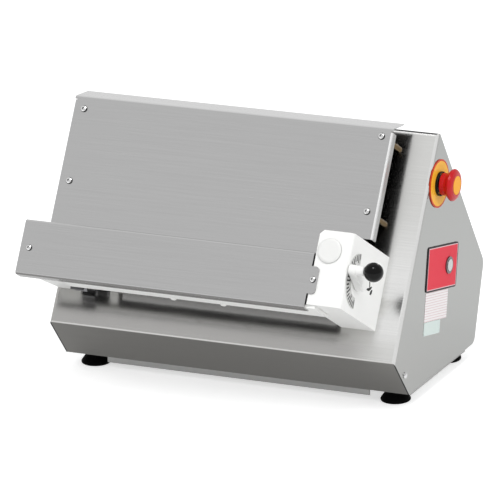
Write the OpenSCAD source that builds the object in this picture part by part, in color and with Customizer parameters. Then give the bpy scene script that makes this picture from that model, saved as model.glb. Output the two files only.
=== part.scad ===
// Countertop dough sheeter: a folded sheet cabinet with a sloped face.
// Two powered rollers sit on the slope between white end blocks, under a screwed cover.
// A side lever opens and closes the gap between the rollers.

/* [Cabinet] */
// Width over the side panels
body_w = 467; // [450:1:490]
// Height of the front fold above the bench
fold_z = 72.5; // [68:0.5:78]
// Height of the top ridge above the bench
apex_z = 323.5; // [316:0.5:332]
// Top ridge, distance behind the front fold
apex_y = 152; // [148:0.5:156]
// Rear corner, distance behind the front fold
rear_y = 287.5; // [282:0.5:296]
// Height of the rear corner
rear_z = 115.5; // [108:0.5:122]
// Height of the lower edge of the panels
edge_z = 18; // [17:0.5:20]
// Lower front edge, distance behind the front fold
bevel_y = 44; // [40:0.5:47]
// Lower rear edge, distance behind the front fold
heel_y = 252.5; // [248:0.5:258]
// Thickness of the sheet metal
sheet = 1.5; // [1.2:0.1:1.8]
// Outside radius where the slope folds into the sides
bend_r = 5; // [3:0.5:7]
// Width of the ridge flange at the back
ridge_flange = 20; // [16:1:26]

/* [Feet] */
// Radius of a foot at the sole
foot_r = 18.8; // [15:0.1:20]
// Distance of the feet from the middle of the cabinet
foot_x = 204.5; // [198:0.5:206]
// Front feet, distance behind the front fold
foot_front_y = 69; // [67:0.5:74]
// Rear feet, distance behind the front fold
foot_rear_y = 230.5; // [224:0.5:232]

/* [Head] */
// Thickness of the right end block along the roller axis
block_w = 45; // [43:0.5:48]
// Inset of the right block from the side panel
block_inset = 33; // [31:0.5:36]
// Lower end of the blocks, up the slope from the fold
block_s0 = 37; // [35:0.5:39]
// Top of the right block above the lever axis
block_top = 51.2; // [48:0.2:54]
// Thickness of the left outer plate
plate_w = 31; // [28:0.5:32]
// Thickness of the left inner plate
inner_w = 12; // [10:0.5:14]
// Room for gears and belt pulley between the left plates
drive_w = 39; // [39:0.5:42]
// Air between the gears and the top of the cover
cover_air = 3; // [1:0.5:4]
// Drop of the cover below the blocks
cover_drop = 5.5; // [5.4:0.1:7]
// Outside radius of the cover bends
cover_bend = 3.5; // [2.5:0.5:5]
// Length of the turned lower edge of the cover
cover_curl = 16; // [12:0.5:20]
// Radius of the blanking plug in the right block
plug_r = 15.5; // [13:0.5:17]
// Blanking plug above the lever axis
plug_rise = 26.2; // [24:0.2:29]
// Thickness of the guard bar under the front roller
guard_t = 3.8; // [3:0.1:3.8]
// Back edge of the guard bar, out from the slope
guard_n0 = 74; // [72:0.5:80]

/* [Rollers] */
// Roller radius
roller_r = 26; // [24:0.25:29]
// Air between the rear roller and the slope
roller_air = 4.3; // [4:0.1:6]
// Smallest gap between the rollers
nip_min = 0.5; // [0.4:0.1:1]
// Largest gap between the rollers
nip_max = 5.5; // [4.5:0.1:5.5]
// Journal radius of the rear roller
rear_journal_r = 10; // [9:0.25:11]
// Journal radius of the front roller
front_journal_r = 8; // [7:0.25:8.5]

/* [Lever] */
// Lever axis above the roller axes
lever_rise = 11.8; // [11:0.1:13]
// Lever swing to either side of straight out
lever_swing = 75; // [65:1:80]
// Lever angle as drawn, up from straight out
lever_rest = 14; // [-40:1:50]
// Distance from lever axis to knob
knob_reach = 30.6; // [28:0.2:33]
// Radius of the ball knob
knob_r = 12; // [10:0.5:13]
// Outer radius of the scale band
scale_r = 33.5; // [32:0.5:34]

/* [Chute] */
// Air between the rear roller and the plane of the chute panel
chute_air = 4.7; // [4:0.1:7]
// Top of the chute panel, up the slope
chute_s1 = 276; // [270:0.5:280]
// Length of the side flanges
chute_side = 11; // [8:0.5:14]
// Length of the top lip
chute_lip = 34; // [28:0.5:36]
// Angle of the top lip from square to the slope
lip_turn = 25.2; // [22:0.2:30]

/* [Controls] */
// Stop button, distance behind the front fold
stop_y = 147.4; // [144:0.2:150]
// Stop button height
stop_z = 257.9; // [255:0.2:260]
// Radius of the yellow disc
stop_disc_r = 30; // [28:0.5:32]
// Radius of the mushroom head
stop_head_r = 20; // [18:0.5:22]
// Travel of the mushroom head
stop_travel = 4; // [3:0.5:4]
// Start button, distance behind the front fold
start_y = 171.5; // [169:0.2:174]
// Start button height
start_z = 145.7; // [143:0.2:147]
// Radius of the start button
start_r = 7.5; // [6.5:0.25:8]
// Switch plate length
switch_l = 96; // [94:0.5:100]
// Switch plate width
switch_h = 56; // [54:0.5:60]

/* [Drive] */
// Motor axis, distance behind the front fold
motor_y = 165; // [162:0.5:168]
// Motor axis height
motor_z = 105; // [102:0.5:108]
// Motor length
motor_l = 150; // [130:1:150]
// Motor radius
motor_r = 50; // [45:0.5:52]
// Gearbox length along the motor axis
gearbox_l = 56; // [50:0.5:56]
// Radius of the gearbox shaft
shaft_r = 8; // [7:0.25:9]
// Control box length along the rollers
control_l = 90; // [80:0.5:90]

/* [Fits] */
// Radial clearance of a shaft in its bore
run_gap = 0.05; // [0.03:0.01:0.08]
// Clearance of a part sliding between flat faces
slide_gap = 0.1; // [0.05:0.05:0.2]
// Air between parts that pass each other
air_gap = 0.4; // [0.35:0.05:0.6]

/* [Hidden] */
$fn = 64;
half = body_w / 2;
tilt = atan2(apex_y, apex_z - fold_z);
slope_l = norm([apex_y, apex_z - fold_z]);
profile = [[bevel_y, edge_z], [0, fold_z], [apex_y, apex_z], [rear_y, rear_z], [heel_y, edge_z]];
profile_r = [0, 4, 4, 16, 12];
block_x1 = half - block_inset;
block_x0 = block_x1 - block_w;
plate_x0 = -half + 3.5;
plate_x1 = plate_x0 + plate_w;
inner_x0 = plate_x1 + drive_w;
inner_x1 = inner_x0 + inner_w;
yoke_t = 4;
yoke_x0 = inner_x1 + 0.5;
yoke_x1 = block_x0 - 0.5;
roll_x0 = yoke_x0 + yoke_t + 1.5;
roll_x1 = yoke_x1 - yoke_t - 1;
travel = nip_max - nip_min;
gear_tip = roller_r + 3.8;
gear_root = roller_r - 4;
rear_n = roller_r + roller_air;
lever_n = rear_n + 2 * roller_r + nip_min + travel / 2;
lever_ratio = travel / 2 / lever_swing;
front_n = lever_n + lever_ratio * lever_rest;
yoke_air = 1.5;
block_n = lever_n + travel / 2 + roller_r + yoke_air + yoke_t + 0.7;
roller_s = block_s0 + gear_tip + 0.2;
lever_s = roller_s + lever_rise;
block_s1 = lever_s + block_top;
plug_s = lever_s + plug_rise;
cover_s1 = roller_s + gear_tip + cover_air;
cover_s0 = block_s0 - cover_drop;
cover_n1 = block_n + sheet;
chute_n = rear_n + roller_r + chute_air;
chute_s0 = cover_s1 + 4;
gear_x0 = plate_x1 + 2;
gear_x1 = gear_x0 + 17;
pulley_x0 = gear_x1 + 1.5;
pulley_x1 = inner_x0 - 1.5;
roller_pulley_r = 20;
motor_pulley_r = 18;
belt_t = 3;
gearbox_x0 = pulley_x1 + 11.5;
motor_x0 = gearbox_x0 + gearbox_l;
motor_cap = 26;
control_air = 4;
control_x0 = motor_x0 + motor_l + motor_cap + control_air;
motor_a = motor_y * cos(tilt) - (motor_z - fold_z) * sin(tilt);
motor_b = motor_y * sin(tilt) + (motor_z - fold_z) * cos(tilt);
slide_half_n = 21.5;
slide_s0 = roller_s - 21;
slide_s1 = lever_s + 19.1;
slide_split = block_x0 + 22.5;
slide_x1 = slide_split + 10;
pocket_x1 = slide_x1 + 0.5;
cam_r = 12;
window_half = cam_r + pow(lever_ratio * 180 / PI, 2) / 2 / cam_r + air_gap;
left_half = 14;
spindle_r = 8;
knob_n = lever_n + knob_reach * cos(lever_rest);
knob_s = lever_s + knob_reach * sin(lever_rest);
stud_r = 4;
knob_out = 19.7;
screw_r = 2;
screw_hole_r = 2.2;
yoke_n0 = front_n + roller_r + yoke_air;
yoke_n1 = yoke_n0 + yoke_t;
yoke_s0 = roller_s - 17;
yoke_s1 = roller_s + 9;
chute_x0 = -half + 4;
chute_x1 = block_x1 - 0.7;
rod_points = [[chute_x0 + 14.7, 167.3], [chute_x0 + 14.7, 259.9],
    [chute_x1 - 13.7, 170.4], [chute_x1 - 13.7, 265.2]];
cover_x0 = -half + 0.5;
cover_x1 = block_x0 - 1;
guard_s0 = cover_s0 + sheet;
guard_n1 = block_n - cover_bend + 1;
guard_x0 = gear_x1 + 2;
guard_x1 = block_x0 + 11.5;
guard_xs = [-36, 31];
tab_x1 = block_x0 + 9.5;
tab_r = 5;
plate_slant = 7;
side_screw = [[31.4, 47.3]];
head_h = 2.4;
stop_top = 24.4;
bolt_rows = [8, 53];
scraper_s = roller_s - 17;
scraper_row = scraper_s + 6;
front_reach = (cover_s0 + cover_bend) * sin(tilt) - (cover_n1 - cover_bend) * cos(tilt) - cover_bend;
rear_reach = inset(profile, profile_r[3])[3][0] + profile_r[3];
mid_x = (stop_top - head_h) / 2;
mid_y = (front_reach + rear_reach) / 2;

function unit(v) = v / norm(v);
function right_of(v) = [v[1], -v[0]];
function meet(p, u, q, v) = p + u * (cross(q - p, v) / cross(u, v));
function inset(p, t) = [for (i = [0:len(p) - 1])
    let (a = p[(i + len(p) - 1) % len(p)], b = p[i], c = p[(i + 1) % len(p)])
    let (u = unit(b - a), v = unit(c - b))
    meet(b + t * right_of(u), u, b + t * right_of(v), v)];
function arc_at(a, b, c, r, n) =
    let (u = unit(a - b), v = unit(c - b), h = acos(u * v) / 2)
    let (o = b + unit(u + v) * r / sin(h), s = b + u * r / tan(h) - o, e = b + v * r / tan(h) - o)
    let (t0 = atan2(s[1], s[0]), dt = (atan2(e[1], e[0]) - t0 + 540) % 360 - 180)
    [for (k = [0:n]) o + r * [cos(t0 + dt * k / n), sin(t0 + dt * k / n)]];
function rounded(p, r, n = 6) = [for (i = [0:len(p) - 1])
    each r[i] <= 0 ? [p[i]] : arc_at(p[(i + len(p) - 1) % len(p)], p[i], p[(i + 1) % len(p)], r[i], n)];
function path_shift(p, t) = [for (i = [0:len(p) - 1])
    let (u = unit(i == 0 ? p[1] - p[0] : p[i] - p[i - 1]))
    let (v = unit(i == len(p) - 1 ? p[i] - p[i - 1] : p[i + 1] - p[i]))
    norm(u - v) < 0.0001 ? p[i] + t * right_of(u) : meet(p[i] + t * right_of(u), u, p[i] + t * right_of(v), v)];
function path_round(p, r, n = 6) = [for (i = [0:len(p) - 1])
    each (i == 0 || i == len(p) - 1) ? [p[i]] : arc_at(p[i - 1], p[i], p[i + 1], r, n)];
function backward(p) = [for (i = [len(p) - 1:-1:0]) p[i]];
function strip(p, t, r) = concat(path_round(p, r), backward(path_round(path_shift(p, t), r - t)));
function gear_points(n, r0, r1, w0, w1, o) = [for (k = [0:n - 1])
    let (a = 180 + 360 * k / n, h0 = asin(w0 / 2 / r0), h1 = asin(w1 / 2 / r1))
    each [o + r0 * [cos(a - h0), sin(a - h0)], o + r1 * [cos(a - h1), sin(a - h1)],
        o + r1 * [cos(a + h1), sin(a + h1)], o + r0 * [cos(a + h0), sin(a + h0)]]];
function cam_reach(a) = a <= 90 ? cam_r - lever_ratio * a : cam_r + lever_ratio * (a - 180);
function cam_points(step) = [for (a = [-90:step:270 - step])
    let (b = a + lever_rest)
    [-lever_n - cam_reach(a) * cos(b), lever_s + cam_reach(a) * sin(b)]];
function loop_points(c, r, d, q, n) =
    let (v = d - c, g = atan2(v[1], v[0]), k = acos((r - q) / norm(v)))
    concat([for (i = [0:n]) let (a = g + k + (360 - 2 * k) * i / n) c + r * [cos(a), sin(a)]],
        [for (i = [0:n]) let (a = g - k + 2 * k * i / n) d + q * [cos(a), sin(a)]]);

module on_bench() {
    translate([-mid_x, -mid_y, 0]) children();
}

module on_slope() {
    translate([-mid_x, -mid_y, fold_z]) rotate([-tilt, 0, 0]) children();
}

module on_side(y, z) {
    translate([half - mid_x, y - mid_y, z]) rotate([0, 90, 0]) children();
}

module side_prism(p, x0, x1) {
    translate([x0, 0, 0]) rotate([90, 0, 90]) linear_extrude(x1 - x0) polygon(p);
}

module slab(x0, x1, n0, n1, s0, s1) {
    translate([x0, -n1, s0]) cube([x1 - x0, n1 - n0, s1 - s0]);
}

module bar_x(x0, x1, n, s, r) {
    translate([x0, -n, s]) rotate([0, 90, 0]) cylinder(r = r, h = x1 - x0);
}

module peg(x, s, n0, n1, r) {
    translate([x, -n0, s]) rotate([90, 0, 0]) cylinder(r = r, h = n1 - n0);
}

module button_head(r, h) {
    rotate_extrude() polygon([[0, 0], [r, 0], [r, h * 0.35], [r * 0.85, h * 0.75], [r * 0.55, h], [0, h]]);
}

module screw_out(x, s, n, r, h, shank) {
    translate([x, -n, s]) rotate([90, 0, 0]) {
        difference() {
            button_head(r, h);
            translate([0, 0, h * 0.45]) cylinder(r = r * 0.42, h = h, $fn = 6);
        }
        translate([0, 0, -shank]) cylinder(r = screw_r, h = shank);
    }
}

module edge_wedge(t) {
    w = half - t;
    r = bend_r - t;
    p = rounded([[-w, 2 * slope_l], [w, 2 * slope_l], [w, t], [-w, t]], [0, 0, r, r]);
    on_slope() translate([0, 0, -slope_l]) linear_extrude(3 * slope_l) polygon(p);
}

module body_shell() {
    inner = inset(profile, sheet);
    ridge = profile[2] + unit(profile[3] - profile[2]) * ridge_flange;
    gone = right_of(unit(profile[3] - profile[2]));
    color("silver") difference() {
        intersection() {
            on_bench() side_prism(rounded(profile, profile_r), -half, half);
            edge_wedge(0);
        }
        intersection() {
            on_bench() side_prism(rounded(inner, [0, 2.5, 2.5, 14.5, 10.5]), -half + sheet, half - sheet);
            edge_wedge(sheet);
        }
        on_bench() side_prism([inner[0], inner[0] + unit(profile[0] - profile[1]) * 4,
            [heel_y + 20, edge_z - 2], [heel_y + 20, edge_z + 3]], -half + sheet, half - sheet);
        on_bench() side_prism([ridge - gone * 20, ridge + gone * 10, [rear_y - 60, rear_z],
            [heel_y - 30, edge_z + 2], [heel_y - 30, edge_z - 5],
            [rear_y + 40, edge_z - 5], [rear_y + 40, rear_z]],
            -half + sheet, half - sheet);
        on_slope() slab(pulley_x0 - 1.5, inner_x0 + 1, -sheet - 1, 1, roller_s - 21, roller_s + 39);
        on_side(stop_y, stop_z) translate([0, 0, -5]) cylinder(r = 11.3, h = 10);
        on_side(start_y, start_z) translate([0, 0, -5]) cylinder(r = 9.3, h = 10);
        for (p = rod_points) on_slope() peg(p[0], p[1], -sheet - 1, 1, 2.7);
        for (p = block_bolt_points()) on_slope() peg(p[0], p[1], -sheet - 1, 1, 3.3);
        for (x = scraper_xs()) on_slope() peg(x, scraper_row, -sheet - 1, 1, screw_hole_r);
        for (p = side_screw) on_bench() translate([-half - 1, p[0], p[1]]) rotate([0, 90, 0])
            cylinder(r = screw_hole_r, h = body_w + 2);
        for (x = [-180, 0, 180]) on_ridge(x) translate([0, 0, -5]) cylinder(r = screw_hole_r, h = 10);
    }
}

function block_bolt_points() = [for (r = bolt_rows) each [
    [plate_x0 + plate_w / 2, block_s0 + r + 9 * (r < 30 ? 1 : 0)],
    [inner_x0 + inner_w / 2, block_s0 + r + 9 * (r < 30 ? 1 : 0)],
    [block_x0 + block_w / 2, block_s0 + r + 25 * (r > 30 ? 1 : 0)]]];

function scraper_xs() = [inner_x1 + 28, 0, block_x0 - 25];

function plate_profile(n) = [[0, block_s0 + plate_slant], [0, cover_s1 - 0.1],
    [5 - n, cover_s1 - 0.1], [-n, cover_s1 - 5.1],
    [-n, block_s0 + 5], [5 - n, block_s0]];

module on_ridge(x) {
    p = profile[2] + unit(profile[3] - profile[2]) * (ridge_flange - 8);
    a = atan2(profile[3][1] - profile[2][1], profile[3][0] - profile[2][0]);
    translate([x - mid_x, p[0] - mid_y, p[1]]) rotate([a, 0, 0]) children();
}

module rear_cover() {
    outer = inset(profile, sheet);
    inner = inset(profile, 2 * sheet);
    w = half - sheet - 0.3;
    d = unit(profile[3] - profile[2]);
    n = right_of(d);
    start = profile[2] + d * 7;
    a = atan2(d[1], d[0]);
    color("silver") difference() {
        on_bench() side_prism(rounded(outer, [0, 2.5, 2.5, 14.5, 10.5]), -w, w);
        on_bench() side_prism(rounded(inner, [0, 1, 1, 13, 9]), -w - 1, w + 1);
        on_bench() side_prism([start - n * 40, start + n * 6, [apex_y, apex_z - 60],
            [heel_y - 34, edge_z + 30], [heel_y - 34, 0], [-60, 0], [-60, 400],
            start - n * 40 + [0, 200]], -w - 1, w + 1);
        for (x = [-180, 0, 180]) on_ridge(x) translate([0, 0, -6]) cylinder(r = screw_hole_r, h = 12);
        for (k = [-4:4], r = [60, 112]) on_bench()
            translate([k * 26, profile[2][0] + d[0] * r, profile[2][1] + d[1] * r]) rotate([a, 0, 0])
            translate([-4, 0, -8]) cube([8, 40, 16]);
        on_bench() gland_place() translate([0, 0, -10]) cylinder(r = 8.2, h = 20);
        for (x = [-foot_x, foot_x]) on_bench() translate([x, foot_rear_y, edge_z - 1]) cylinder(r = 9, h = 12);
        for (x = [-150, 150]) on_bench() translate([x, heel_y - 26, edge_z - 3])
            cylinder(r = screw_hole_r, h = 12);
    }
}

module gland_place() {
    m = (profile[3] + profile[4]) / 2;
    d = unit(profile[4] - profile[3]);
    p = m + right_of(d) * sheet;
    translate([150, p[0], p[1]]) rotate([-90 + atan2(-d[0], -d[1]) * -1, 0, 0]) children();
}

module cover_plate_screws() {
    color("dimgray") {
        for (x = [-180, 0, 180]) on_ridge(x) {
            button_head(4, head_h);
            translate([0, 0, -5]) cylinder(r = screw_r, h = 5);
        }
        for (x = [-150, 150]) on_bench() translate([x, heel_y - 26, edge_z]) rotate([180, 0, 0]) {
            button_head(4, head_h);
            translate([0, 0, -5]) cylinder(r = screw_r, h = 5);
        }
    }
}

module base_pan() {
    w = half - sheet - 0.3;
    y0 = bevel_y + 5;
    y1 = heel_y - 10;
    flange = [[y0 + 2, edge_z], [y0 - 22, edge_z + 27], [y0 - 10, edge_z + 39], [y0 + 20, edge_z + 16],
        [heel_y - 38, edge_z + 16], [heel_y - 38, edge_z]];
    color("gray") on_bench() difference() {
        union() {
            translate([-w, y0, edge_z]) cube([2 * w, y1 - y0, sheet]);
            side_prism(flange, -w, -w + sheet);
            side_prism(flange, w - sheet, w);
            translate([-foot_x + 26, y0, edge_z - 9]) cube([2 * foot_x - 52, sheet, 10]);
            for (x = [-w, w - sheet]) translate([x, y0 + 4, edge_z - 3.4]) cube([sheet, y1 - y0 - 20, 4.4]);
            translate([-foot_x + 26, y1 - 12, edge_z - 7]) cube([2 * foot_x - 52, sheet, 8]);
        }
        for (x = [-foot_x, foot_x], y = [foot_front_y, foot_rear_y]) translate([x, y, edge_z - 1])
            cylinder(r = 3.3, h = 5);
        for (p = side_screw) translate([-half - 1, p[0], p[1]]) rotate([0, 90, 0])
            cylinder(r = screw_hole_r, h = body_w + 2);
        for (x = [-150, 150]) translate([x, heel_y - 26, edge_z - 3]) cylinder(r = screw_hole_r, h = 12);
    }
}

module pan_screws() {
    color("dimgray") for (p = side_screw) {
        on_side(p[0], p[1]) {
            button_head(4, head_h);
            translate([0, 0, -6]) cylinder(r = screw_r, h = 6);
        }
        on_bench() translate([-half, p[0], p[1]]) rotate([0, -90, 0]) {
            button_head(4, head_h);
            translate([0, 0, -6]) cylinder(r = screw_r, h = 6);
        }
    }
}

module rubber_feet() {
    color("black") on_bench() for (x = [-foot_x, foot_x], y = [foot_front_y, foot_rear_y]) translate([x, y, 0])
        difference() {
            rotate_extrude() polygon([[0, 0], [foot_r - 1, 0], [foot_r, 1], [foot_r, 2.6], [foot_r - 0.6, 3.8],
                [foot_r - 6, 11], [foot_r - 6.4, edge_z], [0, edge_z]]);
            translate([0, 0, -1]) cylinder(r = 7.5, h = 8);
            cylinder(r = 3.3, h = 40);
        }
}

module foot_bolts() {
    color("dimgray") on_bench() for (x = [-foot_x, foot_x], y = [foot_front_y, foot_rear_y])
        translate([x, y, 0]) {
        translate([0, 0, 3.2]) cylinder(r = 6, h = 3.8);
        translate([0, 0, 6]) cylinder(r = 3, h = edge_z + 3);
        translate([0, 0, edge_z + sheet]) cylinder(r = 5.8, h = 4.5, $fn = 6);
    }
}

module left_plate() {
    color("white") on_slope() difference() {
        side_prism(plate_profile(block_n), plate_x0, plate_x1);
        bar_x(plate_x0 + 4, plate_x1 + 1, rear_n, roller_s, rear_journal_r + run_gap);
        peg(plate_x0 + 9, roller_s - 1.4, block_n - 14, block_n + 1, screw_hole_r);
        for (p = block_bolt_points()) peg(p[0], p[1], -1, 16, 3.3);
    }
}

module inner_plate() {
    color("white") on_slope() difference() {
        side_prism(plate_profile(block_n - 2), inner_x0, inner_x1);
        side_prism([[1, block_s0 - 1], [1, block_s0 + 12.5], [-56, block_s0 + 3], [-56, block_s0 - 1]],
            inner_x0 - 1, inner_x1 + 1);
        bar_x(inner_x0 - 1, inner_x1 + 1, rear_n, roller_s, rear_journal_r + run_gap);
        slab(inner_x0 - 1, inner_x1 + 1, lever_n - left_half - travel / 2 - 0.5,
            lever_n + left_half + travel / 2 + 0.5, roller_s - left_half, roller_s + left_half);
        for (p = block_bolt_points()) peg(p[0], p[1], -1, 14, 3.3);
    }
}

module right_block() {
    p = rounded([[block_x0, 0], [block_x1, 0], [block_x1, -block_n], [block_x0, -block_n]], [0, 0, 5, 1.5]);
    color("white") on_slope() difference() {
        translate([0, 0, block_s0]) linear_extrude(block_s1 - block_s0) polygon(p);
        translate([block_x0, -block_n, block_s1]) rotate([0, 45, 0]) translate([-4, -1, -4]) cube([8, 40, 8]);
        bar_x(block_x0 - 1, block_x1 - 10, rear_n, roller_s, rear_journal_r + run_gap);
        slab(block_x0 - 1, pocket_x1, lever_n - slide_half_n - travel / 2 - 0.5,
            lever_n + slide_half_n + travel / 2 + 0.5, slide_s0 - slide_gap, slide_s1 + slide_gap);
        bar_x(pocket_x1 - 1, block_x1 + 1, lever_n, lever_s, spindle_r + run_gap);
        peg(block_x0 + 17.5, plug_s, block_n - 6, block_n + 1, plug_r - 2.5);
        peg(block_x0 + 3.5, roller_s + 0.5, block_n - 7, block_n + 1, screw_hole_r);
        for (p = block_bolt_points()) peg(p[0], p[1], -1, 18, 3.3);
    }
}

module block_plug() {
    color("whitesmoke") on_slope() translate([block_x0 + 17.5, -block_n, plug_s]) rotate([90, 0, 0]) {
        rotate_extrude() polygon([[0, 0], [plug_r, 0], [plug_r, 1.2], [plug_r - 1, 2],
            [plug_r - 3, 2.4], [0, 2.4]]);
        translate([0, 0, -5]) cylinder(r = plug_r - 2.7, h = 5);
    }
}

module block_bolts() {
    color("dimgray") on_slope() for (p = block_bolt_points()) {
        translate([p[0], sheet, p[1]]) rotate([-90, 0, 0]) cylinder(r = 5.2, h = 4.5, $fn = 6);
        peg(p[0], p[1], -sheet - 1, 13, 3);
    }
}

module drive_guard() {
    color("silver") on_slope()
        slab(plate_x0 + 6, inner_x1 - 1, 19, chute_n - 1.5, cover_s1 - 0.1, cover_s1 + 1.2);
}

module front_cover() {
    s1 = cover_s1 + sheet;
    outer = [[-chute_n - 1, s1], [-cover_n1, s1], [-cover_n1, cover_s0], [cover_curl - cover_n1, cover_s0]];
    turned = backward(outer);
    wall = [[-chute_n - 1, s1 - 4], [0.4 - cover_n1, s1 - 4], [0.4 - cover_n1, cover_s0 + 6],
        [-chute_n - 1, cover_s0 + 10.5]];
    tab = [[cover_x1 - 1, roller_s - 17], [tab_x1, roller_s - 17],
        [tab_x1, roller_s + 17], [cover_x1 - 1, roller_s + 17]];
    color("silver") on_slope() difference() {
        union() {
            side_prism(strip(turned, sheet, cover_bend), cover_x0, cover_x1);
            side_prism(wall, cover_x0, cover_x0 + sheet);
            translate([0, -block_n, 0]) rotate([90, 0, 0]) linear_extrude(cover_n1 - block_n)
                polygon(rounded(tab, [0, tab_r, tab_r, 0]));
        }
        peg(plate_x0 + 9, roller_s - 1.4, block_n - 5, block_n + 5, screw_hole_r);
        peg(block_x0 + 3.5, roller_s + 0.5, block_n - 5, block_n + 5, screw_hole_r);
    }
}

module cover_screws() {
    color("dimgray") on_slope() {
        screw_out(plate_x0 + 9, roller_s - 1.4, cover_n1, 3.8, head_h, 12);
        screw_out(block_x0 + 3.5, roller_s + 0.5, cover_n1, 3.8, head_h, 7);
    }
}

module guard_bar() {
    color("white") on_slope() difference() {
        slab(guard_x0, guard_x1, guard_n0, guard_n1, guard_s0, guard_s0 + guard_t);
        for (x = guard_xs) translate([x, -guard_n0 - 5, guard_s0 - 1])
            cylinder(r = screw_hole_r, h = guard_t + 2);
    }
}

module guard_screws() {
    color("gainsboro") on_slope() for (x = guard_xs) translate([x, -guard_n0 - 5, guard_s0]) {
        rotate([180, 0, 0]) button_head(4, head_h);
        cylinder(r = screw_r, h = guard_t);
    }
}

module chute_panel() {
    n1 = chute_n + sheet;
    side = [[chute_x0, -chute_n + chute_side], [chute_x0, -n1],
        [chute_x1, -n1], [chute_x1, -chute_n + chute_side]];
    lip = chute_lip * [cos(lip_turn), sin(lip_turn)];
    top = [[-n1, chute_s1 - 14], [-n1, chute_s1], [-n1, chute_s1] + lip];
    high = [[-n1, chute_s1 - 4], [-n1, chute_s1], [-n1, chute_s1] + lip];
    color("silver") on_slope() difference() {
        union() {
            translate([0, 0, chute_s0]) linear_extrude(chute_s1 - 5 - chute_s0)
                polygon(strip(backward(side), sheet, 3));
            side_prism(strip(top, sheet, 4), chute_x0 + 3, chute_x1 - 3);
            side_prism(strip(high, sheet, 4), chute_x0, chute_x1);
        }
        slab(block_x0 - 1.2, chute_x1 + 1, chute_n - chute_side - 1, n1 + 1, chute_s0 - 1, block_s1 + 6.5);
        for (p = rod_points) peg(p[0], p[1], chute_n - 2, n1 + 1, screw_hole_r);
    }
}

module chute_screws() {
    color("dimgray") on_slope() for (p = rod_points) screw_out(p[0], p[1], chute_n + sheet, 4.3, 2.6, 9);
}

module standoffs() {
    color("goldenrod") on_slope() for (p = rod_points) difference() {
        union() {
            peg(p[0], p[1], 0, chute_n, 3.6);
            peg(p[0], p[1], -sheet - 6, 0, 2.5);
        }
        peg(p[0], p[1], chute_n - 12, chute_n + 1, screw_hole_r);
    }
}

module standoff_nuts() {
    color("dimgray") on_slope() for (p = rod_points) difference() {
        translate([p[0], sheet, p[1]]) rotate([-90, 0, 0]) cylinder(r = 4.6, h = 4, $fn = 6);
        peg(p[0], p[1], -sheet - 8, 1, 2.7);
    }
}

module rear_roller() {
    color("lightgray") on_slope() {
        bar_x(roll_x0, roll_x1, rear_n, roller_s, roller_r);
        bar_x(plate_x0 + 5, block_x1 - 11, rear_n, roller_s, rear_journal_r);
    }
}

module rear_gear() {
    color("gray") on_slope() difference() {
        side_prism(gear_points(13, gear_root, gear_tip, 6, 2.6, [-rear_n, roller_s]), gear_x0, gear_x1);
        bar_x(gear_x0 - 1, gear_x1 + 1, rear_n, roller_s, rear_journal_r + run_gap);
    }
}

module roller_pulley() {
    color("gray") on_slope() difference() {
        union() {
            bar_x(pulley_x0, pulley_x1, rear_n, roller_s, roller_pulley_r);
            bar_x(pulley_x0, pulley_x0 + 1.5, rear_n, roller_s, roller_pulley_r + 4);
            bar_x(pulley_x1 - 1.5, pulley_x1, rear_n, roller_s, roller_pulley_r + 4);
        }
        bar_x(pulley_x0 - 1, pulley_x1 + 1, rear_n, roller_s, rear_journal_r + run_gap);
    }
}

module rear_scraper() {
    d = roller_s - scraper_s;
    tip = rear_n - sqrt(roller_r * roller_r - d * d) - air_gap;
    color("silver") on_slope() difference() {
        union() {
            slab(inner_x1 + 1, block_x0 - 1, 0, sheet, scraper_s, scraper_s + 13);
            slab(inner_x1 + 1, block_x0 - 1, 0, tip, scraper_s - 1.2, scraper_s);
        }
        for (x = scraper_xs()) peg(x, scraper_row, -1, 3, screw_hole_r);
    }
}

module scraper_screws() {
    color("dimgray") on_slope() for (x = scraper_xs()) screw_out(x, scraper_row, sheet, 3.2, 1.6, 6);
}

module right_slide() {
    color("peru") on_slope() difference() {
        slab(yoke_x1, slide_x1, front_n - slide_half_n, front_n + slide_half_n, slide_s0, slide_s1);
        bar_x(yoke_x1 - 1, slide_split + 1, front_n, roller_s, front_journal_r + run_gap);
        slab(slide_split, slide_x1 + 1, front_n - window_half, front_n + window_half,
            lever_s - 16, lever_s + 16);
    }
}

module left_slide() {
    g = slide_gap;
    color("peru") on_slope() difference() {
        slab(inner_x0, yoke_x0, front_n - left_half, front_n + left_half,
            roller_s - left_half + g, roller_s + left_half - g);
        bar_x(inner_x0 - 1, yoke_x0 + 1, front_n, roller_s, front_journal_r + run_gap);
    }
}

module carrier_yoke() {
    n0 = front_n - 12;
    p = [[yoke_x0, -n0], [yoke_x0, -yoke_n1], [yoke_x1, -yoke_n1], [yoke_x1, -n0], [yoke_x1 - yoke_t, -n0],
        [yoke_x1 - yoke_t, -yoke_n0], [yoke_x0 + yoke_t, -yoke_n0], [yoke_x0 + yoke_t, -n0]];
    color("gray") on_slope() difference() {
        translate([0, 0, yoke_s0]) linear_extrude(yoke_s1 - yoke_s0) polygon(p);
        bar_x(yoke_x0 - 1, yoke_x1 + 1, front_n, roller_s, front_journal_r + 0.5);
    }
}

module front_scraper() {
    tip = front_n + sqrt(roller_r * roller_r - 17 * 17) + air_gap;
    color("silver") on_slope() slab(roll_x0 + 1, roll_x1 - 1, tip, yoke_n1, yoke_s0 - 1.2, yoke_s0);
}

module front_roller() {
    color("lightgray") on_slope() {
        bar_x(roll_x0, roll_x1, front_n, roller_s, roller_r);
        bar_x(gear_x0 - 0.5, slide_split - 1, front_n, roller_s, front_journal_r);
    }
}

module front_gear() {
    color("gray") on_slope() difference() {
        side_prism(gear_points(13, gear_root, gear_tip, 6, 2.6, [-front_n, roller_s]), gear_x0, gear_x1);
        bar_x(gear_x0 - 1, gear_x1 + 1, front_n, roller_s, front_journal_r + run_gap);
    }
}

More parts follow.
